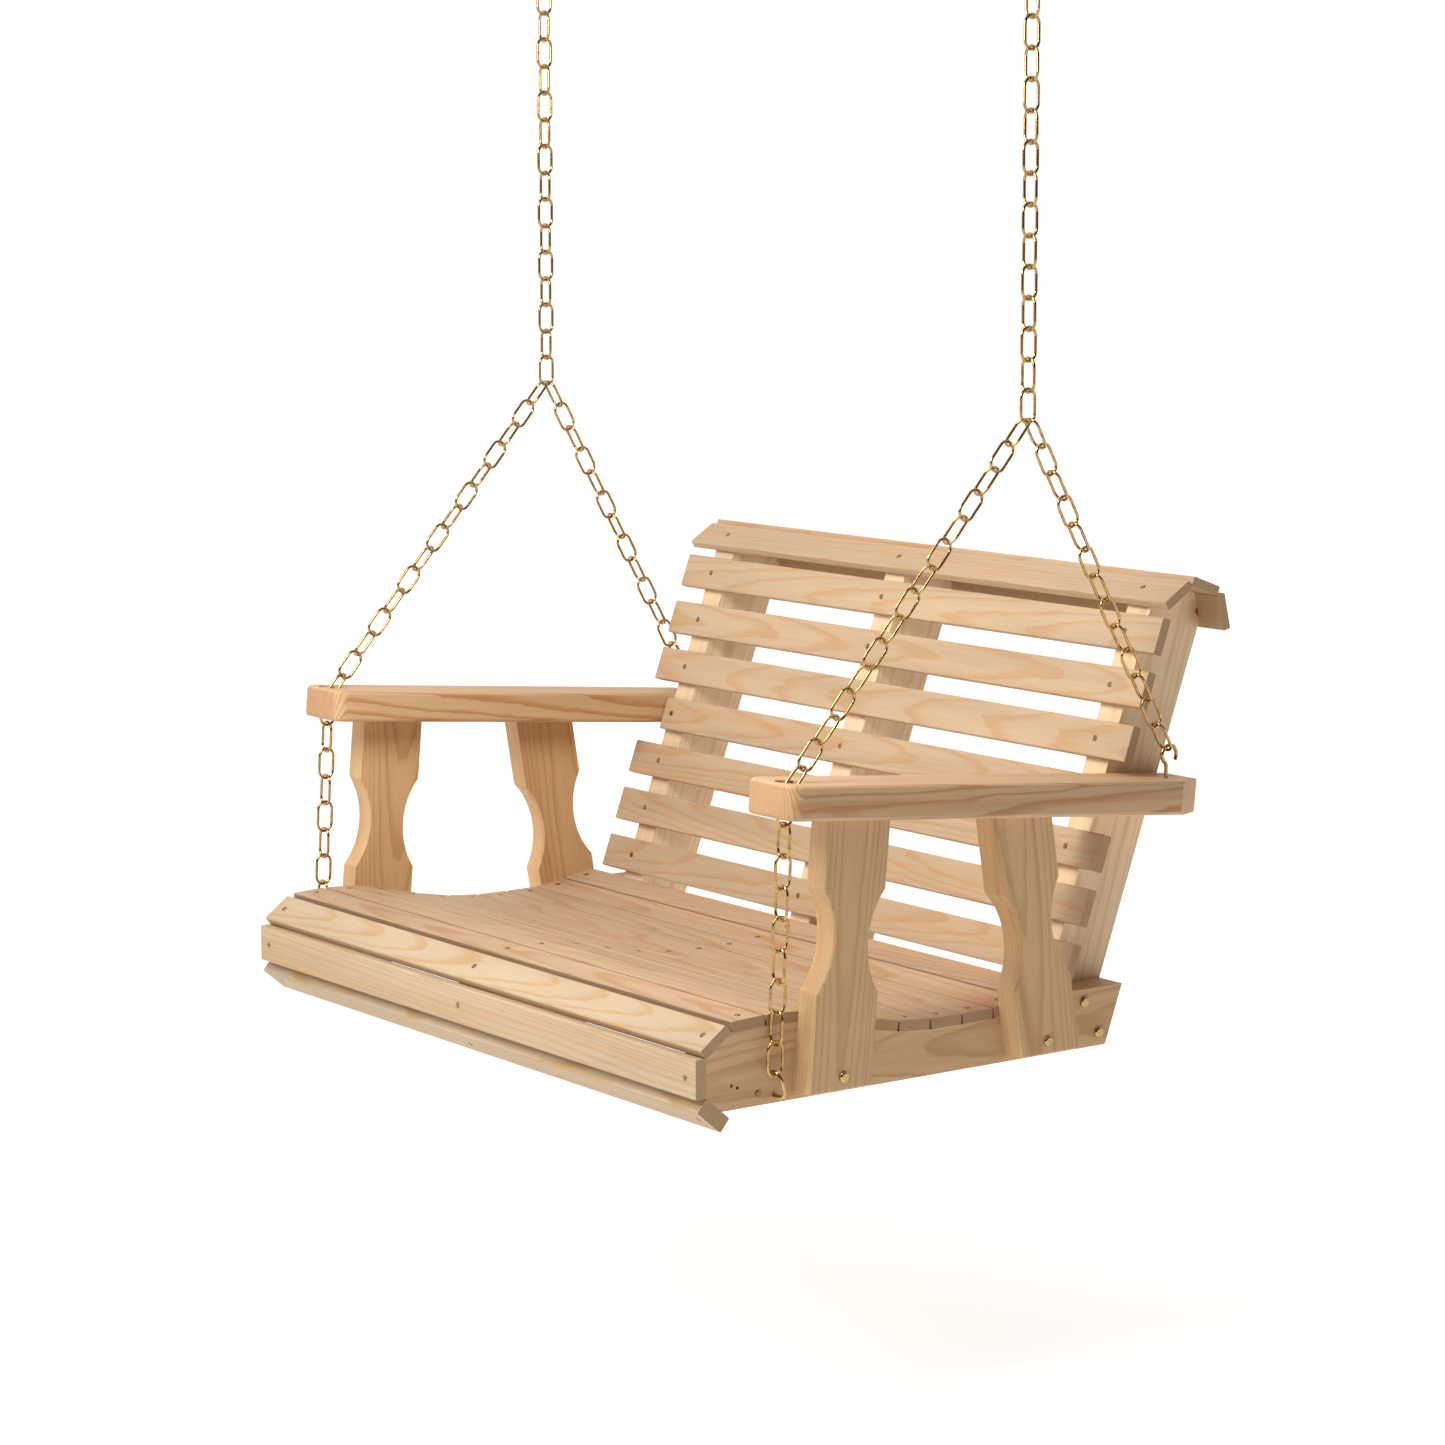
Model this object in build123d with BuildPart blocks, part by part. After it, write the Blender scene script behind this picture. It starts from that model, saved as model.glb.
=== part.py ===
from build123d import *
from math import atan2, cos, degrees, radians, sin, sqrt, tan
import os

# Porch swing, millimetres. +X to the viewer's right from the front, +Y to the back, +Z up. The origin lies in the ceiling plane, midway between the two hooks.

# Slats
SLAT_LENGTH = 914.4
SLAT_WIDTH = 42.9
SLAT_THICKNESS = 12.0
SLAT_EASING = 2.0
SHORT_SLAT_LENGTH = 834.0

# Frame timber
STOCK = 38.1
RAIL_INNER_X = SLAT_LENGTH / 2 - STOCK
UPRIGHT_INNER_X = RAIL_INNER_X - STOCK
MIDDLE_JOINT_X = -25.0
EDGE_EASING = 2.5

# Chain
WIRE_R = 1.7
LINK_PITCH = 33.4
LINK_WIDTH = 19.6
LINK_GAP = 0.4
JUNCTION_GAP = 1.0
LINK_LENGTH = LINK_PITCH + 2 * WIRE_R + LINK_GAP
JOINT_TO_WIRE = WIRE_R + LINK_GAP / 2
CHAIN_X = 470.0
BRANCH_SPREAD = 2.3
UPPER_LINKS = 16
FRONT_SLOPE_LINKS = 15
FRONT_DROP_LINKS = 9
REAR_LINKS = 13
FRONT_SLOPE = 40.7
FRONT_DROP_SLOPE = 2.66
REAR_SLOPE = -28.95

# Ceiling hooks
CEILING_WIRE_R = 4.0
CEILING_LOOP_R = 15.0
CEILING_HOOK_DROP = 50.0
CEILING_NECK_R = 8.0
STUD_HEIGHT = 60.0

# Heights down the chain
HANGER_TOP = -CEILING_HOOK_DROP + CEILING_WIRE_R + WIRE_R + LINK_GAP
FIRST_JOINT = HANGER_TOP - LINK_LENGTH + JOINT_TO_WIRE
LAST_JOINT = FIRST_JOINT - (UPPER_LINKS - 2) * LINK_PITCH
JUNCTION_WIRE = LAST_JOINT + JOINT_TO_WIRE - LINK_LENGTH
BRANCH_WIRE = JUNCTION_WIRE + 2 * WIRE_R + JUNCTION_GAP
JUNCTION_ABOVE_RAIL = 711.8
RAIL_BOTTOM = JUNCTION_WIRE - JUNCTION_ABOVE_RAIL
SEAT_SETBACK = 3.0

# Seat: heights of the rail's top at each gap between slats, above the rail's straight bottom
SEAT_FRONT_Y = -394.9
SLAT_PITCH = 45.3
SEAT_CURVE = [83.5, 85.5, 83.5, 74.5, 63.0, 55.0, 51.3, 51.0, 51.5, 58.5, 67.5]
NOSE_Y = -427.9
NOSE_TOP = 59.1
NOSE_BOTTOM = 17.3
RAIL_FRONT_Y = -407.4
NOSE_SLAT_WIDTH = 39.5
NOSE_CORNER_GAP = 0.5
NOSE_FRONT_WIDTH = 43.6
NOSE_UPPER_WIDTH = 41.0
NOSE_FRONT_THICKNESS = 13.5
NOSE_LOWER_THICKNESS = 18.4

# Back: a plane through BACK_Y, BACK_Z, leaning rearwards
BACK_LEAN = 19.6
BACK_Y = 214.3
BACK_Z = 482.4
BACK_SLATS = 7
BACK_PITCH = 63.85
BACK_FIRST_TOP = 0.5
SHORT_BACK_SLAT = 4
UPRIGHT_REAR = 90.5
UPRIGHT_REAR_BOTTOM = 86.5
UPRIGHT_FOOT_ALONG = -480.0
UPRIGHT_HEEL_ALONG = 7.2
UPRIGHT_LIFT = 2.0
CAP_THICKNESS = 11.0
CAP_TOP = 46.5
CAP_FRONT_MID = (18.2, 27.1)
CAP_FRONT_ANGLE = 51.96
CAP_TOP_DEPTH = 50.5
CAP_REAR_MID = (83.7, 29.0)
CAP_REAR_ANGLE = -56.6

# Arms: boards sloping down to the rear, with their own frame square to the board
ARM_SLOPE = 4.9
ARM_Y = -310.2
ARM_Z = 306.8
ARM_THICKNESS = 38.4
ARM_INNER_X = 419.1
ARM_OUTER_X = 503.0
ARM_FRONT = -44.0
ARM_REAR = 564.0
ARM_CORNER_R = 18.5
ARM_CUT_X = 473.7
ARM_CUT_Y = 515.6
ARM_EASING = 5.0
ARM_HOLE_R = 14.8
ARM_HOLE_Y = -22.9

# Arm posts, in the arm's own frame (Y along the arm, Z square to it, from the arm's underside)
POST_THICKNESS = 30.0
POST_WIDTH = 84.5
POST_LIFT = 9.2
POST_SQUARE_TOP = 15.0
SCALLOP_SAG = 18.5
SCALLOP_LENGTH = 112.0
SCALLOP_R = ((SCALLOP_LENGTH / 2) ** 2 + SCALLOP_SAG**2) / (2 * SCALLOP_SAG)
FRONT_POST_Y = 64.2
FRONT_POST_SCALLOP = -131.8
REAR_POST_LEAN = 14.4
REAR_POST_TOP_Y = 292.6
REAR_POST_SCALLOP = -132.0

# Screws and bolts
SEAT_COLUMNS = [-438.1, -6.0, 438.1]
BACK_COLUMNS = [-400.0, -44.0, 400.0]
SCREW_R = 1.8
SCREW_LENGTH = 30.0
SCREW_HEAD_R = 3.4
SCREW_SINK = 1.2
SCREW_HEAD_HEIGHT = 1.9
SCREW_HEAD_ROUNDING = 0.63
BOLT_R = 3.2
BOLT_HEAD_R = 6.4
BOLT_HEAD_HEIGHT = 3.2
BOLT_DOME = 2.56
NUT_ACROSS_FLATS = 11.0
NUT_HEIGHT = 5.5
WASHER_R = 8.0
WASHER_THICKNESS = 1.5
BOLT_TAIL = 2.0
FRONT_POST_BOLT = (66.9, -278.4)
REAR_POST_BOLT = (355.2, -253.4)
RAIL_BOLTS = [(101.8, 53.3), (124.1, 15.2)]
PILOT_HOLES = [(-394.4, 26.2), (-386.9, 23.0)]
PILOT_R = 2.0
PILOT_DEPTH = 9.0
SIDE_SCREW = (-359.9, 13.0)

# Seat hooks
HOOK_WIRE_R = 2.2
FRONT_HOOK_R = 11.0
FRONT_HOOK_HEIGHT = 28.8
FRONT_HOOK_LEAN = 16.8
FRONT_HOOK_INSET = 1.5
FRONT_HOOK_TIP = 135.0
FRONT_HOOK_DEPTH = 25.0
REAR_HOOK_R = 10.8
REAR_HOOK_NECK_R = 6.0
REAR_HOOK_OFFSET = -4.5
REAR_HOOK_DEPTH = 28.0
HOOK_TIP = -35.0


def seat_point(y, height):
    """A point in the side view, height taken above the rails' straight bottoms."""
    return (y + SEAT_SETBACK, RAIL_BOTTOM + height)


def arm_point(y, z):
    """A point in the side view given in the sloping arm's own frame."""
    slope = radians(ARM_SLOPE)
    return seat_point(ARM_Y + y * cos(slope) + z * sin(slope), ARM_Z - y * sin(slope) + z * cos(slope))


def back_point(depth, along):
    """A point in the side view given behind and up the leaning back's front plane."""
    lean = radians(BACK_LEAN)
    return seat_point(BACK_Y + along * sin(lean) + depth * cos(lean), BACK_Z + along * cos(lean) - depth * sin(lean))


def midpoint(a, b):
    return ((a[0] + b[0]) / 2, (a[1] + b[1]) / 2)


def slope_of(a, b):
    return degrees(atan2(b[1] - a[1], b[0] - a[0]))


def along_line(a, b, distance):
    """The point on the line from a towards b, the given distance from a."""
    angle = radians(slope_of(a, b))
    return (a[0] + distance * cos(angle), a[1] + distance * sin(angle))


def board(points, x_start, thickness):
    """Add a flat board with this side outline to the current part."""
    with BuildSketch(Plane.YZ.offset(x_start)) as outline:
        with BuildLine():
            Polyline(*points, close=True)
        make_face()
    extrude(outline.sketch, amount=thickness)


def slat(mid, angle, length, width, thickness):
    """Add a slat whose underside is centred on mid, turned by angle in the side view."""
    turn = radians(angle)
    section = Plane(origin=(-length / 2, mid[0], mid[1]), x_dir=(0, cos(turn), sin(turn)), z_dir=(1, 0, 0))
    with BuildSketch(section) as profile:
        with Locations((0, thickness / 2)):
            RectangleRounded(width, thickness, SLAT_EASING)
    extrude(profile.sketch, amount=length)


def screw_spots(mid, angle, thickness, columns):
    """Locations on a slat's outer face, local Z pointing out of the face."""
    turn = radians(angle)
    y = mid[0] - thickness * sin(turn)
    z = mid[1] + thickness * cos(turn)
    return [Location((x, y, z), (angle, 0, 0)) for x in columns]


def sink_screws(spots):
    """Cut the recesses for screw heads and the holes for their shanks."""
    with Locations(*spots):
        Cylinder(SCREW_HEAD_R, SCREW_SINK, align=(Align.CENTER, Align.CENTER, Align.MAX), mode=Mode.SUBTRACT)
    pilot_screws(spots)


def pilot_screws(spots):
    """Cut the holes for screw shanks."""
    with Locations(*spots):
        Cylinder(SCREW_R, SCREW_LENGTH, align=(Align.CENTER, Align.CENTER, Align.MAX), mode=Mode.SUBTRACT)


def bolt_bore(points, x_start, length):
    """Cut the holes for bolts running along X."""
    for y, z in points:
        with Locations(Location((x_start, y, z), (0, 90, 0))):
            Cylinder(BOLT_R, length, align=(Align.CENTER, Align.CENTER, Align.MIN), mode=Mode.SUBTRACT)


def link_location(upper, lower, x, in_side_plane):
    """Where a link goes that joins two chain joints; alternate links turn a quarter."""
    middle = midpoint(upper, lower)
    tilt = degrees(atan2(lower[0] - upper[0], upper[1] - lower[1]))
    return Location((x, middle[0], middle[1]), (tilt, 0, 90 if in_side_plane else 0))


def chain_joints(start, slope, count):
    """Joints down a straight run of links, slope in degrees forward of plumb."""
    step_y = -LINK_PITCH * sin(radians(slope))
    step_z = -LINK_PITCH * cos(radians(slope))
    return [(start[0] + step_y * n, start[1] + step_z * n) for n in range(count + 1)]


def branch_start(slope):
    """First joint of a branch hung over the junction link's bottom wire."""
    start_y = -BRANCH_SPREAD if slope > 0 else BRANCH_SPREAD
    return (
        start_y - JOINT_TO_WIRE * sin(radians(slope)),
        BRANCH_WIRE - JOINT_TO_WIRE * cos(radians(slope)),
    )


def link_run(joints, x):
    """Locations of the links between successive joints, every second one in the side plane."""
    return [
        link_location(upper, lower, x, in_side_plane=index % 2 == 1)
        for index, (upper, lower) in enumerate(zip(joints, joints[1:]))
    ]


def neck_drop(loop_r, neck_r, stem_x):
    """How far below the loop's centre the stem's straight part ends."""
    return sqrt((loop_r + neck_r) ** 2 - (stem_x - neck_r) ** 2)


def screw_hook(loop_plane, wire_r, loop_r, neck_r, stem_x, stem_length):
    """Add a question-mark hook: a round loop about the plane's origin on a stem below it."""
    stem_top = -neck_drop(loop_r, neck_r, stem_x)
    neck_x = stem_x - neck_r
    bend = atan2(-stem_top, -neck_x)
    half_neck = (neck_x + neck_r * cos(bend / 2), stem_top + neck_r * sin(bend / 2))
    join = (neck_x + neck_r * cos(bend), stem_top + neck_r * sin(bend))
    tip_angle = radians(HOOK_TIP)
    tip = (loop_r * cos(tip_angle), loop_r * sin(tip_angle))
    with BuildLine(loop_plane) as path:
        Line((stem_x, stem_top - stem_length), (stem_x, stem_top))
        ThreePointArc((stem_x, stem_top), half_neck, join)
        ThreePointArc(join, (0, loop_r), tip)
    with BuildSketch(Plane(origin=path.wire() @ 0, z_dir=path.wire() % 0)) as section:
        Circle(wire_r)
    sweep(section.sketch, path=path.wire())


def save(builder, name):
    builder.part.label = name
    export_step(builder.part, f"parts/{name}.step")


os.makedirs("parts", exist_ok=True)
SIDES = {"left": -1, "right": 1}

# ---------------------------------------------------------------- side outlines
seat_line = [seat_point(SEAT_FRONT_Y + SLAT_PITCH * n, height) for n, height in enumerate(SEAT_CURVE)]
nose_line = [seat_point(RAIL_FRONT_Y, 0), seat_point(NOSE_Y, NOSE_BOTTOM), seat_point(NOSE_Y, NOSE_TOP), seat_line[0]]
upright_foot = back_point(UPRIGHT_REAR_BOTTOM, UPRIGHT_FOOT_ALONG)
upright_heel = back_point(UPRIGHT_REAR, UPRIGHT_HEEL_ALONG)


def rear_edge_y(z):
    """Y of the uprights' straight rear edge at this height."""
    share = (z - upright_foot[1]) / (upright_heel[1] - upright_foot[1])
    return upright_foot[0] + share * (upright_heel[0] - upright_foot[0])


rail_outline = (
    nose_line[:3]
    + seat_line
    + [(rear_edge_y(seat_line[-1][1]), seat_line[-1][1]), (rear_edge_y(RAIL_BOTTOM), RAIL_BOTTOM)]
)

cap_front = back_point(*CAP_FRONT_MID)
cap_front_angle = CAP_FRONT_ANGLE - BACK_LEAN
cap_top = back_point(CAP_TOP_DEPTH, CAP_TOP)
cap_top_angle = -BACK_LEAN
cap_rear = back_point(*CAP_REAR_MID)
cap_rear_angle = CAP_REAR_ANGLE - BACK_LEAN

foot_z = RAIL_BOTTOM + UPRIGHT_LIFT
front_foot_along = (foot_z - back_point(SLAT_THICKNESS, 0)[1]) / cos(radians(BACK_LEAN))
front_slope = tan(radians(CAP_FRONT_ANGLE))
rear_slope = tan(radians(CAP_REAR_ANGLE))
upright_outline = [
    back_point(SLAT_THICKNESS, front_foot_along),
    back_point(SLAT_THICKNESS, CAP_FRONT_MID[1] + (SLAT_THICKNESS - CAP_FRONT_MID[0]) * front_slope),
    back_point(CAP_FRONT_MID[0] + (CAP_TOP - CAP_FRONT_MID[1]) / front_slope, CAP_TOP),
    back_point(CAP_REAR_MID[0] + (CAP_TOP - CAP_REAR_MID[1]) / rear_slope, CAP_TOP),
    back_point(UPRIGHT_REAR, CAP_REAR_MID[1] + (UPRIGHT_REAR - CAP_REAR_MID[0]) * rear_slope),
    upright_heel,
    (rear_edge_y(foot_z), foot_z),
]

# ---------------------------------------------------------------- slat layout
# Each entry: underside middle, angle, length, width, thickness, screw columns
seat_slats = {
    f"seat_slat_{n + 1:02d}": (
        midpoint(a, b),
        slope_of(a, b),
        SLAT_LENGTH,
        SLAT_WIDTH,
        SLAT_THICKNESS,
        SEAT_COLUMNS,
    )
    for n, (a, b) in enumerate(zip(seat_line, seat_line[1:]))
}
lower_mid = along_line(nose_line[1], nose_line[0], NOSE_SLAT_WIDTH / 2 + NOSE_CORNER_GAP)
nose_slats = {
    "nose_slat_upper": (
        midpoint(nose_line[2], nose_line[3]),
        slope_of(nose_line[2], nose_line[3]),
        SLAT_LENGTH,
        NOSE_UPPER_WIDTH,
        SLAT_THICKNESS,
        SEAT_COLUMNS,
    ),
    "nose_slat_front": (
        midpoint(nose_line[1], nose_line[2]),
        90.0,
        SLAT_LENGTH,
        NOSE_FRONT_WIDTH,
        NOSE_FRONT_THICKNESS,
        SEAT_COLUMNS,
    ),
    "nose_slat_lower": (
        lower_mid,
        slope_of(nose_line[0], nose_line[1]),
        SLAT_LENGTH,
        NOSE_SLAT_WIDTH,
        NOSE_LOWER_THICKNESS,
        SEAT_COLUMNS,
    ),
}
back_slats = {
    f"back_slat_{n + 1}": (
        back_point(SLAT_THICKNESS, BACK_FIRST_TOP - BACK_PITCH * n - SLAT_WIDTH / 2),
        90.0 - BACK_LEAN,
        SHORT_SLAT_LENGTH if n + 1 == SHORT_BACK_SLAT else SLAT_LENGTH,
        SLAT_WIDTH,
        SLAT_THICKNESS,
        BACK_COLUMNS,
    )
    for n in range(BACK_SLATS)
}
cap_slats = {
    "cap_slat_front": (cap_front, cap_front_angle, SLAT_LENGTH, SLAT_WIDTH, CAP_THICKNESS, BACK_COLUMNS),
    "cap_slat_top": (cap_top, cap_top_angle, SLAT_LENGTH, SLAT_WIDTH, CAP_THICKNESS, BACK_COLUMNS),
    "cap_slat_rear": (cap_rear, cap_rear_angle, SLAT_LENGTH, SLAT_WIDTH, CAP_THICKNESS, BACK_COLUMNS),
}
all_slats = {**seat_slats, **nose_slats, **back_slats, **cap_slats}

all_spots = []
for name, (mid, angle, length, width, thickness, columns) in all_slats.items():
    spots = screw_spots(mid, angle, thickness, columns)
    all_spots += spots
    with BuildPart() as slat_piece:
        slat(mid, angle, length, width, thickness)
        sink_screws(spots)
    save(slat_piece, name)

# ---------------------------------------------------------------- bolts, as points in the side view
front_post_bolt = arm_point(*FRONT_POST_BOLT)
rear_post_bolt = arm_point(*REAR_POST_BOLT)
rail_bolts = [seat_point(*point) for point in RAIL_BOLTS]
post_bolts = [front_post_bolt, rear_post_bolt]

# ---------------------------------------------------------------- rails
front_joints = chain_joints(branch_start(FRONT_SLOPE), FRONT_SLOPE, FRONT_SLOPE_LINKS)
front_joints += chain_joints(front_joints[-1], FRONT_DROP_SLOPE, FRONT_DROP_LINKS)[1:]
rear_joints = chain_joints(branch_start(REAR_SLOPE), REAR_SLOPE, REAR_LINKS)
hook_lean = radians(FRONT_HOOK_LEAN)
front_hook_top = (front_joints[-1][0], front_joints[-1][1] + HOOK_WIRE_R + LINK_GAP / 2)
hook_shank = (front_hook_top[0] + FRONT_HOOK_HEIGHT * tan(hook_lean), front_hook_top[1] - FRONT_HOOK_HEIGHT)

rail_starts = {"left": -SLAT_LENGTH / 2, "middle": MIDDLE_JOINT_X, "right": RAIL_INNER_X}
for index, (place, x_start) in enumerate(rail_starts.items()):
    rail_spots = [
        screw_spots(mid, angle, thickness, [columns[index]])[0]
        for mid, angle, length, width, thickness, columns in {**seat_slats, **nose_slats}.values()
    ]
    with BuildPart() as seat_rail:
        board(rail_outline, x_start, STOCK)
        pilot_screws(rail_spots)
        bolt_bore(rail_bolts, x_start, STOCK)
        if place in SIDES:
            side = SIDES[place]
            face_x = side * SLAT_LENGTH / 2
            bolt_bore(post_bolts, x_start, STOCK)
            with Locations(*[Location((face_x, *seat_point(*point)), (0, 90 * side, 0)) for point in PILOT_HOLES]):
                Cylinder(PILOT_R, PILOT_DEPTH, align=(Align.CENTER, Align.CENTER, Align.MAX), mode=Mode.SUBTRACT)
            with Locations(Location((face_x, *hook_shank), (0, 90 * side, 0))):
                Cylinder(
                    HOOK_WIRE_R,
                    FRONT_HOOK_DEPTH,
                    align=(Align.CENTER, Align.CENTER, Align.MAX),
                    mode=Mode.SUBTRACT,
                )
            with Locations(Location((face_x, *seat_point(*SIDE_SCREW)), (0, 90 * side, 0))):
                Cylinder(
                    SCREW_R,
                    SCREW_LENGTH,
                    align=(Align.CENTER, Align.CENTER, Align.MAX),
                    mode=Mode.SUBTRACT,
                )
    save(seat_rail, f"seat_rail_{place}")

# ---------------------------------------------------------------- uprights
upright_starts = {"left": -RAIL_INNER_X, "middle": MIDDLE_JOINT_X - STOCK, "right": UPRIGHT_INNER_X}
for index, (place, x_start) in enumerate(upright_starts.items()):
    upright_spots = [
        screw_spots(mid, angle, thickness, [columns[index]])[0]
        for mid, angle, length, width, thickness, columns in {**back_slats, **cap_slats}.values()
    ]
    with BuildPart() as upright:
        board(upright_outline, x_start, STOCK)
        pilot_screws(upright_spots)
        bolt_bore(rail_bolts, x_start, STOCK)
    save(upright, f"upright_{place}")

# ---------------------------------------------------------------- armrests
loop_reach = REAR_HOOK_R - HOOK_WIRE_R - LINK_GAP / 2
rear_loop_y = rear_joints[-1][0] - loop_reach * sin(radians(REAR_SLOPE))
rear_loop_z = rear_joints[-1][1] - loop_reach * cos(radians(REAR_SLOPE))
rear_stem_top = rear_loop_z - neck_drop(REAR_HOOK_R, REAR_HOOK_NECK_R, REAR_HOOK_OFFSET)

for place, side in SIDES.items():
    base_y, base_z = arm_point(0, 0)
    slope = radians(ARM_SLOPE)
    underside = Plane(origin=(0, base_y, base_z), x_dir=(1, 0, 0), z_dir=(0, sin(slope), cos(slope)))
    outline = [
        (ARM_INNER_X, ARM_FRONT),
        (ARM_OUTER_X, ARM_FRONT),
        (ARM_OUTER_X, ARM_CUT_Y),
        (ARM_CUT_X, ARM_REAR),
        (ARM_INNER_X, ARM_REAR),
    ]
    with BuildPart() as armrest:
        with BuildSketch(underside) as plan:
            with BuildLine():
                Polyline(*[(side * x, y) for x, y in outline], close=True)
            make_face()
            fillet(plan.vertices().sort_by(Axis.Y)[:2], ARM_CORNER_R)
        extrude(amount=ARM_THICKNESS)
        fillet(
            armrest.faces().sort_by(Axis.Z)[-1].edges() + armrest.faces().sort_by(Axis.Z)[0].edges(),
            ARM_EASING,
        )
        with BuildSketch(underside):
            with Locations((side * CHAIN_X, ARM_HOLE_Y)):
                Circle(ARM_HOLE_R)
        extrude(amount=ARM_THICKNESS, mode=Mode.SUBTRACT)
        with Locations((side * CHAIN_X, rear_loop_y + REAR_HOOK_OFFSET, rear_stem_top)):
            Cylinder(
                HOOK_WIRE_R,
                REAR_HOOK_DEPTH,
                align=(Align.CENTER, Align.CENTER, Align.MAX),
                mode=Mode.SUBTRACT,
            )
    save(armrest, f"armrest_{place}")

# ---------------------------------------------------------------- arm posts
scallop_offset = POST_WIDTH / 2 + SCALLOP_R - SCALLOP_SAG
post_bottom = RAIL_BOTTOM + POST_LIFT
lean = radians(REAR_POST_LEAN)
half_width = POST_WIDTH / 2


def post_outline(top, down):
    """Outline of a straight post of even width from its top middle along a unit direction."""
    across = (down[1], -down[0])
    slope_z = -sin(radians(ARM_SLOPE))
    slope_y = cos(radians(ARM_SLOPE))
    corners = []
    for hand in (-1, 1):
        edge = (top[0] + hand * half_width * across[0], top[1] + hand * half_width * across[1])
        rise = (slope_z * (edge[0] - top[0]) - slope_y * (edge[1] - top[1])) / (
            slope_y * down[1] - slope_z * down[0]
        )
        upper = (edge[0] + rise * down[0], edge[1] + rise * down[1])
        reach = (post_bottom - edge[1]) / down[1]
        lower = (edge[0] + reach * down[0], post_bottom)
        corners.append((upper, lower))
    return [corners[0][0], corners[0][1], corners[1][1], corners[1][0]]


front_top = arm_point(FRONT_POST_Y, 0)
front_down = (-sin(radians(ARM_SLOPE)), -cos(radians(ARM_SLOPE)))
rear_top = arm_point(REAR_POST_TOP_Y, 0)
rear_down_angle = radians(REAR_POST_LEAN - ARM_SLOPE)
rear_down = (sin(rear_down_angle), -cos(rear_down_angle))
posts = {
    "front": (front_top, front_down, -FRONT_POST_SCALLOP, front_post_bolt),
    "rear": (rear_top, rear_down, -REAR_POST_SCALLOP / cos(lean), rear_post_bolt),
}
for place, side in SIDES.items():
    post_start = SLAT_LENGTH / 2 if side > 0 else -SLAT_LENGTH / 2 - POST_THICKNESS
    for position, (top, down, scallop_drop, bolt_point) in posts.items():
        across = (down[1], -down[0])
        waist = (top[0] + scallop_drop * down[0], top[1] + scallop_drop * down[1])
        with BuildPart() as arm_post:
            board(post_outline(top, down), post_start, POST_THICKNESS)
            with BuildSketch(Plane.YZ.offset(post_start)):
                for hand in (-1, 1):
                    centre_y = waist[0] + hand * scallop_offset * across[0]
                    centre_z = waist[1] + hand * scallop_offset * across[1]
                    with Locations((centre_y, centre_z)):
                        Circle(SCALLOP_R)
            extrude(amount=POST_THICKNESS, mode=Mode.SUBTRACT)
            outer_face = arm_post.faces().sort_by(Axis.X)[-1 if side > 0 else 0]
            eased = outer_face.edges().filter_by(lambda edge: edge.center().Z < top[1] - POST_SQUARE_TOP)
            fillet(eased, EDGE_EASING)
            bolt_bore([bolt_point], post_start, POST_THICKNESS)
        save(arm_post, f"arm_post_{position}_{place}")

# ---------------------------------------------------------------- screws
with BuildPart() as slat_screw:
    Cylinder(SCREW_R, SCREW_LENGTH - SCREW_SINK, align=(Align.CENTER, Align.CENTER, Align.MAX))
    Cylinder(SCREW_HEAD_R, SCREW_HEAD_HEIGHT, align=(Align.CENTER, Align.CENTER, Align.MIN))
    fillet(slat_screw.edges().group_by(Axis.Z)[-1], SCREW_HEAD_ROUNDING)

screw_seats = [spot * Location((0, 0, -SCREW_SINK)) for spot in all_spots]
with BuildPart() as slat_screws:
    with Locations(*screw_seats):
        add(slat_screw.part)
save(slat_screws, "slat_screws")

side_seats = [
    Location((side * SLAT_LENGTH / 2, *seat_point(*SIDE_SCREW)), (0, 90 * side, 0)) for side in SIDES.values()
]
with BuildPart() as rail_screws:
    with Locations(*side_seats):
        add(slat_screw.part)
save(rail_screws, "rail_screws")


# ---------------------------------------------------------------- carriage bolts
def bolt(grip):
    """A domed bolt through this grip, with its washer and nut; head seat at the origin."""
    with BuildPart() as made:
        Cylinder(BOLT_HEAD_R, BOLT_HEAD_HEIGHT, align=(Align.CENTER, Align.CENTER, Align.MIN))
        fillet(made.edges().group_by(Axis.Z)[-1], BOLT_DOME)
        stack = grip + WASHER_THICKNESS + NUT_HEIGHT + BOLT_TAIL
        Cylinder(BOLT_R, stack, align=(Align.CENTER, Align.CENTER, Align.MAX))
        with Locations((0, 0, -grip)):
            Cylinder(WASHER_R, WASHER_THICKNESS, align=(Align.CENTER, Align.CENTER, Align.MAX))
        with BuildSketch(Plane.XY.offset(-grip - WASHER_THICKNESS)):
            RegularPolygon(NUT_ACROSS_FLATS / 2, 6, major_radius=False)
        extrude(amount=-NUT_HEIGHT)
    return made.part


post_bolt = bolt(POST_THICKNESS + STOCK)
rail_bolt = bolt(2 * STOCK)

post_bolt_seats = [
    Location((side * (SLAT_LENGTH / 2 + POST_THICKNESS), y, z), (0, 90 * side, 0))
    for side in SIDES.values()
    for y, z in post_bolts
]
with BuildPart() as post_bolts_all:
    with Locations(*post_bolt_seats):
        add(post_bolt)
save(post_bolts_all, "post_bolts")

rail_bolt_faces = [(-SLAT_LENGTH / 2, -1), (MIDDLE_JOINT_X + STOCK, 1), (SLAT_LENGTH / 2, 1)]
rail_bolt_seats = [Location((x, y, z), (0, 90 * side, 0)) for x, side in rail_bolt_faces for y, z in rail_bolts]
with BuildPart() as rail_bolts_all:
    with Locations(*rail_bolt_seats):
        add(rail_bolt)
save(rail_bolts_all, "rail_bolts")

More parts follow.
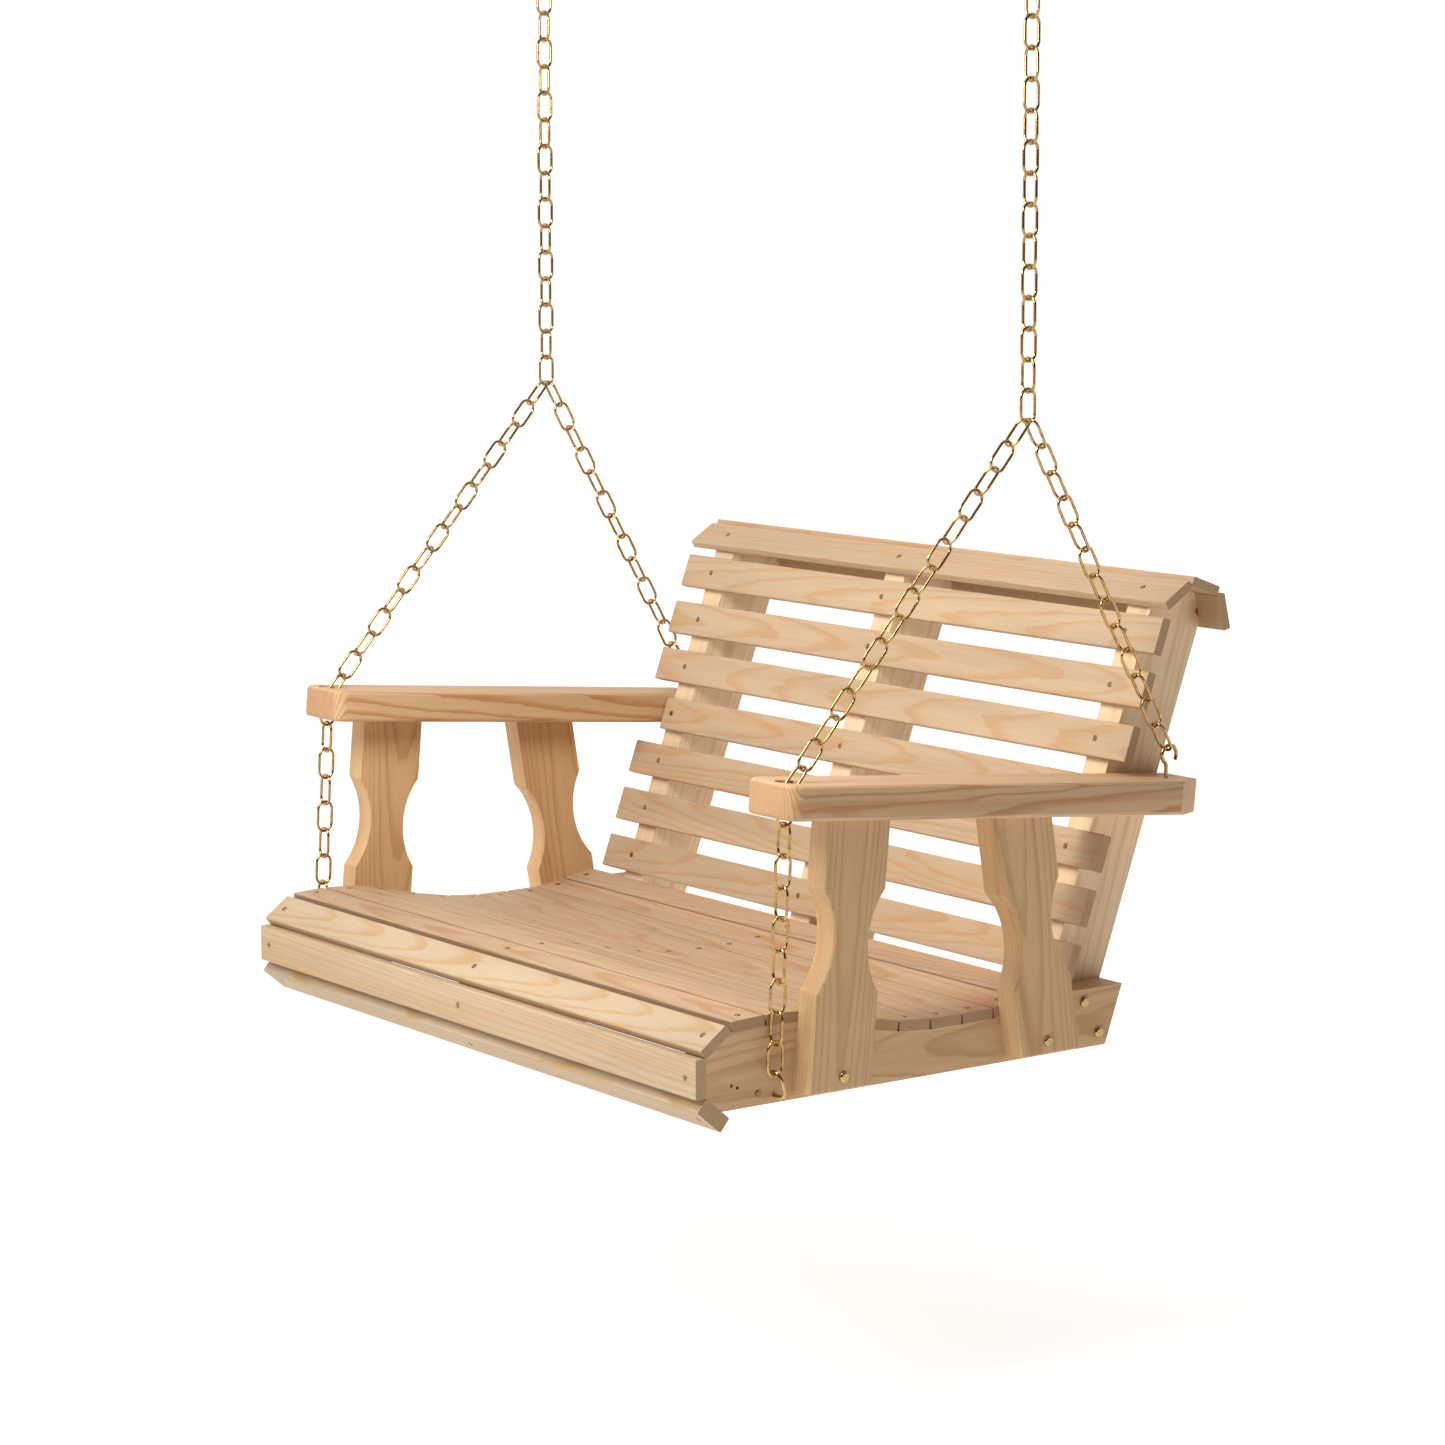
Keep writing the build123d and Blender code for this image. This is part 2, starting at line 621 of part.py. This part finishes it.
# ---------------------------------------------------------------- chains
straight = (LINK_LENGTH - LINK_WIDTH) / 2
half_link = LINK_WIDTH / 2
with BuildPart() as chain_link:
    with BuildLine(Plane.XZ) as loop:
        Line((half_link, -straight), (half_link, straight))
        ThreePointArc((half_link, straight), (0, straight + half_link), (-half_link, straight))
        Line((-half_link, straight), (-half_link, -straight))
        ThreePointArc((-half_link, -straight), (0, -straight - half_link), (half_link, -straight))
    with BuildSketch(Plane(origin=loop.wire() @ 0, z_dir=loop.wire() % 0)):
        Circle(WIRE_R)
    sweep()

upper_joints = [(0, FIRST_JOINT + LINK_PITCH)] + chain_joints((0, FIRST_JOINT), 0, UPPER_LINKS - 1)
for place, side in SIDES.items():
    upper_run = link_run(upper_joints, side * CHAIN_X)
    runs = {
        f"hanger_link_{place}": upper_run[:1],
        f"upper_chain_{place}": upper_run[1:-1],
        f"junction_link_{place}": upper_run[-1:],
        f"front_chain_{place}": link_run(front_joints, side * CHAIN_X),
        f"rear_chain_{place}": link_run(rear_joints, side * CHAIN_X),
    }
    for name, run in runs.items():
        with BuildPart() as chain:
            with Locations(*run):
                add(chain_link.part)
        save(chain, name)

# ---------------------------------------------------------------- hooks
for place, side in SIDES.items():
    ceiling_loop = Plane(
        origin=(side * CHAIN_X, 0, -CEILING_HOOK_DROP + CEILING_LOOP_R), x_dir=(0, 1, 0), z_dir=(-1, 0, 0)
    )
    shank_end = STUD_HEIGHT + CEILING_HOOK_DROP - CEILING_LOOP_R
    stem_length = shank_end - neck_drop(CEILING_LOOP_R, CEILING_NECK_R, 0)
    with BuildPart() as ceiling_hook:
        screw_hook(ceiling_loop, CEILING_WIRE_R, CEILING_LOOP_R, CEILING_NECK_R, 0, stem_length)
    save(ceiling_hook, f"ceiling_hook_{place}")

    rear_loop = Plane(origin=(side * CHAIN_X, rear_loop_y, rear_loop_z), x_dir=(0, 1, 0), z_dir=(1, 0, 0))
    with BuildPart() as rear_hook:
        screw_hook(rear_loop, HOOK_WIRE_R, REAR_HOOK_R, REAR_HOOK_NECK_R, REAR_HOOK_OFFSET, REAR_HOOK_DEPTH)
    save(rear_hook, f"rear_hook_{place}")

    shank_plane = Plane(
        origin=(side * SLAT_LENGTH / 2, *hook_shank),
        x_dir=(side, 0, 0),
        z_dir=(0, -side * cos(hook_lean), -side * sin(hook_lean)),
    )
    turn_x = CHAIN_X - FRONT_HOOK_INSET - SLAT_LENGTH / 2
    outer_x = turn_x + FRONT_HOOK_R
    rise = FRONT_HOOK_HEIGHT / cos(hook_lean)
    tip = radians(FRONT_HOOK_TIP)
    with BuildPart() as front_hook:
        with BuildLine(shank_plane) as path:
            Line((-FRONT_HOOK_DEPTH, 0), (turn_x, 0))
            RadiusArc((turn_x, 0), (outer_x, FRONT_HOOK_R), -FRONT_HOOK_R)
            Line((outer_x, FRONT_HOOK_R), (outer_x, rise - FRONT_HOOK_R))
            ThreePointArc(
                (outer_x, rise - FRONT_HOOK_R),
                (turn_x, rise),
                (turn_x + FRONT_HOOK_R * cos(tip), rise - FRONT_HOOK_R + FRONT_HOOK_R * sin(tip)),
            )
        with BuildSketch(Plane(origin=path.wire() @ 0, z_dir=path.wire() % 0)):
            Circle(HOOK_WIRE_R)
        sweep()
    save(front_hook, f"front_hook_{place}")
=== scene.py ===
import random
from math import cos, radians, sin

import bpy
from mathutils import Euler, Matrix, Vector


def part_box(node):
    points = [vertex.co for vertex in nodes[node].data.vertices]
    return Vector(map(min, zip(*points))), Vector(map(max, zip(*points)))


# Porch swing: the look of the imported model. Metres, +X the viewer's right from the front, +Y to
# the back, +Z up, origin in the ceiling plane between the two hooks.

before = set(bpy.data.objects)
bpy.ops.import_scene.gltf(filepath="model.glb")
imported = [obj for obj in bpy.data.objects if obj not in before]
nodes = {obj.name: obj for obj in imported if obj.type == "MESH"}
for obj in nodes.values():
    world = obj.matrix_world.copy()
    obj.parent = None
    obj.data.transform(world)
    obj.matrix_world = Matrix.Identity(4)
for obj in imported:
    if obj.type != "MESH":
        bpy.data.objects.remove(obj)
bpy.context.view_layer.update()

# ---------------------------------------------------------------- directions on the swing
BACK_LEAN = 19.6
ARM_SLOPE = 4.9
REAR_POST_LEAN = 9.5
UPRIGHT_GRAIN = (0.0, sin(radians(BACK_LEAN)), cos(radians(BACK_LEAN)))
ARM_GRAIN = (0.0, cos(radians(ARM_SLOPE)), -sin(radians(ARM_SLOPE)))
FRONT_POST_GRAIN = (0.0, sin(radians(ARM_SLOPE)), cos(radians(ARM_SLOPE)))
REAR_POST_GRAIN = (0.0, -sin(radians(REAR_POST_LEAN)), cos(radians(REAR_POST_LEAN)))
SLAT_GRAIN = (1.0, 0.0, 0.0)
RAIL_GRAIN = (0.0, 1.0, 0.0)

BACK_FACE = (0.0, -cos(radians(BACK_LEAN)), sin(radians(BACK_LEAN)))
SIDE_FACE = (1.0, 0.0, 0.0)
UP_FACE = (0.0, 0.0, 1.0)
FRONT_FACE = (0.0, -0.8, 0.6)

# ---------------------------------------------------------------- timber finishes, some with painted shade
# Colours of the early wood, late wood and streaks; strength of the rings and the red streaks; share
# of the knot cells that hold a knot; painted shade on the narrow edges that face the gaps between slats (1
# for none)
PALE = dict(
    early=(0.50, 0.35, 0.21), late=(0.47, 0.25, 0.10), streak=(0.52, 0.24, 0.08),
    rings=0.62, red=0.34, knots=0.16, edge=1.0,
)
# The seat slats' narrow edges take the strongest painted shade, for the gaps between them
SEAT = dict(
    early=(0.49, 0.325, 0.19), late=(0.42, 0.21, 0.08), streak=(0.48, 0.20, 0.06),
    rings=0.72, red=0.36, knots=0.14, edge=0.64,
)
NOSE = dict(
    early=(0.50, 0.37, 0.235), late=(0.47, 0.26, 0.09), streak=(0.52, 0.25, 0.07),
    rings=0.66, red=0.34, knots=0.20, edge=0.9,
)
ARM = dict(
    early=(0.60, 0.385, 0.21), late=(0.45, 0.21, 0.07), streak=(0.50, 0.19, 0.05),
    rings=0.85, red=0.50, knots=0.20, edge=1.0,
)
POST = dict(
    early=(0.63, 0.40, 0.20), late=(0.50, 0.26, 0.10), streak=(0.48, 0.18, 0.06),
    rings=0.72, red=0.45, knots=0.06, edge=1.0,
)
RAIL = dict(
    early=(0.61, 0.385, 0.188), late=(0.46, 0.25, 0.10), streak=(0.46, 0.20, 0.07),
    rings=0.75, red=0.30, knots=0.12, edge=1.0,
)
UPRIGHT = dict(
    early=(0.82, 0.60, 0.38), late=(0.68, 0.42, 0.21), streak=(0.52, 0.26, 0.10),
    rings=0.60, red=0.32, knots=0.06, edge=1.0,
)
# The nose finish made darker for the lower nose slat: painted shade that offsets the light bounced up from
# the white floor
NOSE_PAINTED_SHADE = dict(
    early=(0.485, 0.355, 0.22), late=(0.44, 0.245, 0.085), streak=(0.49, 0.235, 0.065),
    rings=0.80, red=0.34, knots=0.12, edge=0.9,
)

# A piece takes the first row that its name starts with: finish, direction of the grain, direction
# that the flat-sawn face looks
TIMBER = {
    "armrest": (ARM, ARM_GRAIN, SIDE_FACE),
    "arm_post_front": (POST, FRONT_POST_GRAIN, SIDE_FACE),
    "arm_post_rear": (POST, REAR_POST_GRAIN, SIDE_FACE),
    "seat_rail": (RAIL, RAIL_GRAIN, SIDE_FACE),
    "upright": (UPRIGHT, UPRIGHT_GRAIN, SIDE_FACE),
    "seat_slat": (SEAT, SLAT_GRAIN, UP_FACE),
    "nose_slat_lower": (NOSE_PAINTED_SHADE, SLAT_GRAIN, FRONT_FACE),
    "nose_slat": (NOSE, SLAT_GRAIN, FRONT_FACE),
    "back_slat": (PALE, SLAT_GRAIN, BACK_FACE),
    "cap_slat": (PALE, SLAT_GRAIN, BACK_FACE),
}

# ---------------------------------------------------------------- figure of the wood
FIGURE_SEED = 7
CUT_FROM = (3.0, 30.0)
PITH_NEAR = 0.035
PITH_SPREAD = 0.075
PITH_SIDEWAYS = 0.022
TAPER = 0.022
TAPER_SPREAD = (0.4, 1.6)

RING_SPACING = 0.0034
RING_JITTER = 0.0022
GRAIN_WANDER = 0.007
YEARS_UNEVEN = 1.6
YEAR_NOISE = dict(scale=0.35, detail=1.0)
LATE_RISE = (0.52, 0.92)
LATE_FALL = (0.94, 1.0)

# Noise in the board: features per metre along, across and out of it
WANDER = dict(per_metre=(2.6, 9.0, 9.0), detail=2.0)
RIPPLE = dict(per_metre=(14.0, 70.0, 70.0), detail=3.0)
FIBRES = dict(per_metre=(16.0, 700.0, 700.0), detail=2.0)
CLOUDS = dict(per_metre=(2.2, 22.0, 22.0), detail=4.0)
STREAKS = dict(per_metre=(1.6, 42.0, 42.0), detail=3.0)
NOISE_MIDDLE = 0.5
NOISE_ROUGHNESS = 0.55

# A knot's core and halo fade out between these multiples of its radius
KNOTS_PER_METRE = (3.1, 8.0, 8.0)
KNOT_RADIUS = 0.007
KNOT_BULGE = 0.012
KNOT_WOBBLE = 0.5
KNOT_WOBBLE_NOISE = dict(scale=90.0, detail=3.0)
KNOT_CORE = (0.75, 1.15)
KNOT_HALO = (1.0, 3.6)
KNOT_TINT = 0.7
KNOT_COLOUR = (0.16, 0.065, 0.028)

FADE_IN = (0.0, 1.0)
FADE_OUT = (1.0, 0.0)
CLOUD_SPAN = (0.25, 0.75)
CLOUD_TONES = (0.86, 1.10)
FIBRE_SPAN = (0.2, 0.8)
FIBRE_TONES = (0.92, 1.06)
STREAK_SPAN = (0.52, 0.72)
GAP_SHADE_SPAN = (0.55, 0.95)
END_SPAN = (0.75, 0.95)
END_SHARE = 0.45
END_TONE = 0.72
LATE_RELIEF = 0.6
FIBRE_RELIEF = 0.4
WOOD_BUMP = dict(strength=0.22, depth=0.0005)
WOOD_ROUGHNESS = (0.66, 0.52)
WOOD_IOR = 1.45

WELD_DISTANCE = 0.00001
EDGE_BEVEL = 0.0011
EDGE_SEGMENTS = 2
EDGE_ANGLE = 40.0

# ---------------------------------------------------------------- plated metal
PATCH_NOISE = dict(scale=160.0, detail=3.0)
DULL_SPAN = (0.45, 0.75)
DULL_SHARES = (0.0, 0.6)
GLOSS_SPAN = (0.3, 0.8)
GLOSS_SHARES = (0.8, 1.5)
SCRATCH_NOISE = dict(scale=900.0, detail=2.0)
SCRATCH_BUMP = dict(strength=0.08, depth=0.0002)

# ---------------------------------------------------------------- floor, light and camera
WHITE = (1.0, 1.0, 1.0, 1.0)
FLOOR_DROP = 0.36
FLOOR_SIZE = 40.0
FLOOR_COLOUR = (0.80, 0.80, 0.80)
FLOOR_ROUGHNESS = 0.9
FLOOR_GLOW = 0.55

SKY_BRIGHT = 1.0
SKY_SHADED = 0.05
SHADE_SIDE = (1.0, -0.35, 0.0)
SHADE_SPAN = (-0.10, 0.55)

# Each lamp: place and aim from the seat's centre, width, power
SEAT_CENTRE_HEIGHT = 0.25
LAMPS = {
    "key": ((0.15, -2.2, 1.5), (0.0, 0.0, 0.0), 0.9, 24.0),
    "over": ((0.40, -0.9, 1.05), (-0.60, -0.2, 0.10), 0.6, 17.0),
}

CAMERA_PLACE = (3.6589, -2.7657, -0.3110)
CAMERA_YAW = 53.58
CAMERA_PITCH = -8.12
CAMERA_LENS = 96.23
CAMERA_SENSOR = 36.0


def rgba(colour):
    return (*colour, 1.0)


class Graph:
    """The node tree of a material or world; each call adds one node and fills its inputs."""

    def __init__(self, owner):
        owner.use_nodes = True
        self.owner = owner
        self.tree = owner.node_tree
        self.tree.nodes.clear()

    def fill(self, socket, value):
        """Link the socket to a value that is itself a socket, or else set it."""
        if isinstance(value, bpy.types.NodeSocket):
            self.tree.links.new(value, socket)
        else:
            socket.default_value = value

    def node(self, kind, settings=None, **inputs):
        """Inputs are named, with _ for a space, or numbered as i0, i1 and so on."""
        made = self.tree.nodes.new(kind)
        for key, value in (settings or {}).items():
            setattr(made, key, value)
        for key, value in inputs.items():
            numbered = key[0] == "i" and key[1:].isdigit()
            self.fill(made.inputs[int(key[1:]) if numbered else key.replace("_", " ")], value)
        return made

    def math(self, operation, a, b=0.0):
        return self.node("ShaderNodeMath", dict(operation=operation), i0=a, i1=b).outputs[0]

    def vector(self, operation, a, b):
        return self.node("ShaderNodeVectorMath", dict(operation=operation), i0=a, i1=b).outputs[0]

    def combine(self, x, y, z):
        return self.node("ShaderNodeCombineXYZ", None, X=x, Y=y, Z=z).outputs[0]

    def dot(self, a, axis):
        made = self.node("ShaderNodeVectorMath", dict(operation="DOT_PRODUCT"), i0=a, i1=tuple(axis))
        return made.outputs["Value"]

    def length(self, a):
        return self.node("ShaderNodeVectorMath", dict(operation="LENGTH"), i0=a).outputs["Value"]

    def mix(self, share, a, b, blend="MIX"):
        settings = dict(data_type="RGBA", blend_type=blend)
        return self.node("ShaderNodeMix", settings, i0=share, i6=a, i7=b).outputs[2]

    def shade(self, colour, tone):
        grey = self.node("ShaderNodeCombineColor", None, Red=tone, Green=tone, Blue=tone).outputs[0]
        return self.mix(1.0, colour, grey, blend="MULTIPLY")

    def ramp(self, value, span, result=FADE_IN, ease="LINEAR"):
        """Turn the values of a span into those of a result, and hold them past its ends."""
        made = self.node("ShaderNodeMapRange", dict(interpolation_type=ease), Value=value)
        for index, number in enumerate((*span, *result), start=1):
            made.inputs[index].default_value = number
        return made.outputs[0]

    def noise(self, vector, scale, detail, output=0):
        inputs = dict(Vector=vector, Scale=scale, Detail=detail, Roughness=NOISE_ROUGHNESS)
        return self.node("ShaderNodeTexNoise", None, **inputs).outputs[output]

    def bump(self, height, strength, depth):
        return self.node("ShaderNodeBump", None, Strength=strength, Distance=depth, Height=height).outputs[0]

    def principled(self, **inputs):
        """End a material in one shader."""
        shader = self.node("ShaderNodeBsdfPrincipled", None, **inputs)
        self.node("ShaderNodeOutputMaterial", None, Surface=shader.outputs[0])
        return self.owner


class Board:
    """A board's own axes: X along the grain, Y across the face, Z out of it, pith line through zero."""

    def __init__(self, graph, grain, face, centre, chance):
        self.graph = graph
        self.along_axis = Vector(grain).normalized()
        out_axis = (Vector(face) - self.along_axis * Vector(face).dot(self.along_axis)).normalized()
        self.across_axis = out_axis.cross(self.along_axis)
        depth = PITH_NEAR + PITH_SPREAD * chance.random()
        sideways = PITH_SIDEWAYS * chance.uniform(-1.0, 1.0)
        pith = Vector(centre) - out_axis * depth + self.across_axis * sideways
        self.cut_from = chance.uniform(*CUT_FROM)
        self.tilt = TAPER * chance.choice((-1.0, 1.0)) * chance.uniform(*TAPER_SPREAD)

        self.place = graph.node("ShaderNodeTexCoord")
        local = graph.vector("SUBTRACT", self.place.outputs["Object"], tuple(pith))
        self.along = graph.dot(local, self.along_axis)
        self.across = graph.dot(local, self.across_axis)
        self.out = graph.dot(local, out_axis)
        self.point = graph.combine(graph.math("ADD", self.along, self.cut_from), self.across, self.out)

    def noise(self, per_metre, detail, output=0):
        return self.graph.noise(self.graph.vector("MULTIPLY", self.point, per_metre), 1.0, detail, output)

    def facing(self, axis):
        """How squarely the surface looks along this axis, either way round."""
        return self.graph.math("ABSOLUTE", self.graph.dot(self.place.outputs["Normal"], axis))


def knots(board, share):
    """The dark cores and the halos of knots, round at the centres of sparse cells."""
    graph = board.graph
    sparse = graph.vector("MULTIPLY", board.point, KNOTS_PER_METRE)
    cells = graph.node("ShaderNodeTexVoronoi", dict(feature="F1"), Vector=sparse, Scale=1.0, Randomness=1.0)
    offset = graph.vector("SUBTRACT", sparse, cells.outputs["Position"])
    distance = graph.length(graph.vector("DIVIDE", offset, KNOTS_PER_METRE))
    wobble = graph.noise(board.point, **KNOT_WOBBLE_NOISE)
    reach = graph.math("ADD", distance, graph.math("MULTIPLY", wobble, KNOT_RADIUS * KNOT_WOBBLE))

    cell_number = graph.node("ShaderNodeSeparateColor", None, Color=cells.outputs["Color"]).outputs[0]
    picked = graph.math("LESS_THAN", cell_number, share)
    core = graph.ramp(reach, [KNOT_RADIUS * ring for ring in KNOT_CORE], FADE_OUT)
    halo = graph.ramp(reach, [KNOT_RADIUS * ring for ring in KNOT_HALO], FADE_OUT, ease="SMOOTHSTEP")
    return graph.math("MULTIPLY", core, picked), graph.math("MULTIPLY", halo, picked)


def late_wood(board, knot_halo):
    """Growth rings: distance from the pith, wandering, leaning with the taper, bulging at knots."""
    graph = board.graph
    wander = graph.vector("SUBTRACT", board.noise(**WANDER, output="Color"), (NOISE_MIDDLE,) * 3)
    drift = graph.vector("MULTIPLY", wander, (0.0, GRAIN_WANDER, GRAIN_WANDER))
    radius = graph.length(graph.vector("ADD", graph.combine(0.0, board.across, board.out), drift))
    ripple = graph.math("SUBTRACT", board.noise(**RIPPLE), NOISE_MIDDLE)
    jittered = graph.math("ADD", radius, graph.math("MULTIPLY", ripple, RING_JITTER))
    leaned = graph.math("ADD", jittered, graph.math("MULTIPLY", board.along, board.tilt))
    bulged = graph.math("ADD", leaned, graph.math("MULTIPLY", knot_halo, KNOT_BULGE))

    years = graph.math("DIVIDE", bulged, RING_SPACING)
    uneven = graph.noise(graph.combine(years, board.cut_from, 0.0), **YEAR_NOISE)
    season = graph.math("FRACT", graph.math("ADD", years, graph.math("MULTIPLY", uneven, YEARS_UNEVEN)))
    rise = graph.ramp(season, LATE_RISE, ease="SMOOTHSTEP")
    return graph.math("MULTIPLY", rise, graph.ramp(season, LATE_FALL, FADE_OUT))


def pine(name, finish, grain, face, centre, chance):
    """Planed pine: growth rings about a pith behind the face, fibres, streaks and a few knots."""
    graph = Graph(bpy.data.materials.new(name))
    board = Board(graph, grain, face, centre, chance)
    knot_core, knot_halo = knots(board, finish["knots"])
    late = late_wood(board, knot_halo)
    fibre = board.noise(**FIBRES)
    cloud = board.noise(**CLOUDS)
    streaks = graph.ramp(board.noise(**STREAKS), STREAK_SPAN, ease="SMOOTHSTEP")

    rings = graph.math("MULTIPLY", late, finish["rings"])
    colour = graph.mix(rings, rgba(finish["early"]), rgba(finish["late"]))
    colour = graph.shade(colour, graph.ramp(cloud, CLOUD_SPAN, CLOUD_TONES))
    colour = graph.shade(colour, graph.ramp(fibre, FIBRE_SPAN, FIBRE_TONES))
    colour = graph.mix(graph.math("MULTIPLY", streaks, finish["red"]), colour, rgba(finish["streak"]))
    colour = graph.mix(graph.math("MULTIPLY", knot_halo, KNOT_TINT), colour, rgba(finish["streak"]))
    colour = graph.mix(knot_core, colour, rgba(KNOT_COLOUR))

    # Painted shade on the narrow edges, so that the gaps between slats fall dark, then end grain
    edges = board.facing(board.across_axis)
    colour = graph.shade(colour, graph.ramp(edges, GAP_SHADE_SPAN, (1.0, finish["edge"])))
    ends = graph.ramp(board.facing(board.along_axis), END_SPAN, (0.0, END_SHARE))
    colour = graph.mix(ends, colour, rgba(END_TONE * channel for channel in finish["late"]))

    ring_relief = graph.math("MULTIPLY", late, LATE_RELIEF)
    relief = graph.math("ADD", ring_relief, graph.math("MULTIPLY", fibre, FIBRE_RELIEF))
    bump = graph.bump(relief, **WOOD_BUMP)
    roughness = graph.ramp(late, FADE_IN, WOOD_ROUGHNESS)
    return graph.principled(Base_Color=colour, Roughness=roughness, Normal=bump, IOR=WOOD_IOR)


def plated(name, colour, roughness, tarnish):
    """Plated steel with slight changes of tint and gloss."""
    graph = Graph(bpy.data.materials.new(name))
    place = graph.node("ShaderNodeTexCoord").outputs["Object"]
    patch = graph.noise(place, **PATCH_NOISE)
    tint = graph.mix(graph.ramp(patch, DULL_SPAN, DULL_SHARES), rgba(colour), rgba(tarnish))
    gloss = graph.ramp(patch, GLOSS_SPAN, [roughness * share for share in GLOSS_SHARES])
    bump = graph.bump(graph.noise(place, **SCRATCH_NOISE), **SCRATCH_BUMP)
    return graph.principled(Base_Color=tint, Metallic=1.0, Roughness=gloss, Normal=bump)


def paint(piece, material):
    for slot in piece.material_slots:
        slot.material = material


def ease_edges(piece):
    """Round the board's sharp edges a little, once its corners are joined."""
    weld = piece.modifiers.new("weld", "WELD")
    weld.merge_threshold = WELD_DISTANCE
    bevel = piece.modifiers.new("eased", "BEVEL")
    bevel.width = EDGE_BEVEL
    bevel.segments = EDGE_SEGMENTS
    bevel.limit_method = "ANGLE"
    bevel.angle_limit = radians(EDGE_ANGLE)
    bevel.use_clamp_overlap = True


def make_floor(height):
    """A pale floor that glows a little, so that it reads as white."""
    half = FLOOR_SIZE / 2
    mesh = bpy.data.meshes.new("floor")
    corners = [(x * half, y * half, height) for x, y in ((-1, -1), (1, -1), (1, 1), (-1, 1))]
    mesh.from_pydata(corners, [], [(0, 1, 2, 3)])
    made = bpy.data.objects.new("floor", mesh)
    bpy.context.scene.collection.objects.link(made)
    look = dict(Base_Color=rgba(FLOOR_COLOUR), Roughness=FLOOR_ROUGHNESS)
    glow = dict(Emission_Color=WHITE, Emission_Strength=FLOOR_GLOW)
    mesh.materials.append(Graph(bpy.data.materials.new("floor_white")).principled(**look, **glow))
    return made


def make_world():
    """White where the camera looks past the swing; as light, dimmer towards the shaded side."""
    world = bpy.data.worlds.new("studio")
    bpy.context.scene.world = world
    graph = Graph(world)
    heading = graph.node("ShaderNodeTexCoord").outputs["Generated"]
    toward = graph.dot(heading, Vector(SHADE_SIDE).normalized())
    sky = graph.ramp(toward, SHADE_SPAN, (SKY_BRIGHT, SKY_SHADED), ease="SMOOTHSTEP")
    seen = graph.node("ShaderNodeLightPath").outputs["Is Camera Ray"]
    strength = graph.math("MAXIMUM", sky, seen)
    background = graph.node("ShaderNodeBackground", None, Color=WHITE, Strength=strength)
    graph.node("ShaderNodeOutputWorld", None, Surface=background.outputs[0])


def hang_lamp(name, centre, offset, aim, width, power):
    light = bpy.data.lights.new(name, "AREA")
    light.energy = power
    light.size = width
    lamp = bpy.data.objects.new(name, light)
    lamp.location = centre + Vector(offset)
    lamp.visible_camera = False
    lamp.rotation_euler = (Vector(aim) - Vector(offset)).to_track_quat("-Z", "Y").to_euler()
    bpy.context.scene.collection.objects.link(lamp)


def place_camera():
    lens = bpy.data.cameras.new("camera")
    lens.lens = CAMERA_LENS
    lens.sensor_width = CAMERA_SENSOR
    camera = bpy.data.objects.new("camera", lens)
    camera.location = CAMERA_PLACE
    camera.rotation_euler = Euler((radians(90 + CAMERA_PITCH), 0.0, radians(CAMERA_YAW)))
    bpy.context.scene.collection.objects.link(camera)
    bpy.context.scene.camera = camera


# ---------------------------------------------------------------- finishes on the CAD pieces
gold = plated("yellow_zinc", (0.52, 0.32, 0.12), 0.11, (0.16, 0.08, 0.025))
brass = plated("screw_brass", (0.30, 0.20, 0.09), 0.26, (0.12, 0.07, 0.03))
dome = plated("bolt_gold", (0.52, 0.36, 0.16), 0.09, (0.22, 0.13, 0.05))
METAL = {"chain": gold, "link": gold, "hook": gold, "screws": brass, "bolts": dome}

chance = random.Random(FIGURE_SEED)
for name in sorted(nodes):
    piece = nodes[name]
    family = next((key for key in TIMBER if name.startswith(key)), None)
    if family:
        finish, grain, face = TIMBER[family]
        low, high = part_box(name)
        centre = (Vector(low) + Vector(high)) / 2
        paint(piece, pine(f"pine_{name}", finish, grain, face, centre, chance))
        ease_edges(piece)
    else:
        paint(piece, next(metal for key, metal in METAL.items() if key in name))

# ---------------------------------------------------------------- the studio
seat_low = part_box("seat_rail_middle")[0]
floor = make_floor(seat_low[2] - FLOOR_DROP)
make_world()
seat_centre = Vector((0.0, 0.0, seat_low[2] + SEAT_CENTRE_HEIGHT))
for name, lamp in LAMPS.items():
    hang_lamp(name, seat_centre, *lamp)
place_camera()
bpy.context.scene.view_settings.view_transform = "Standard"
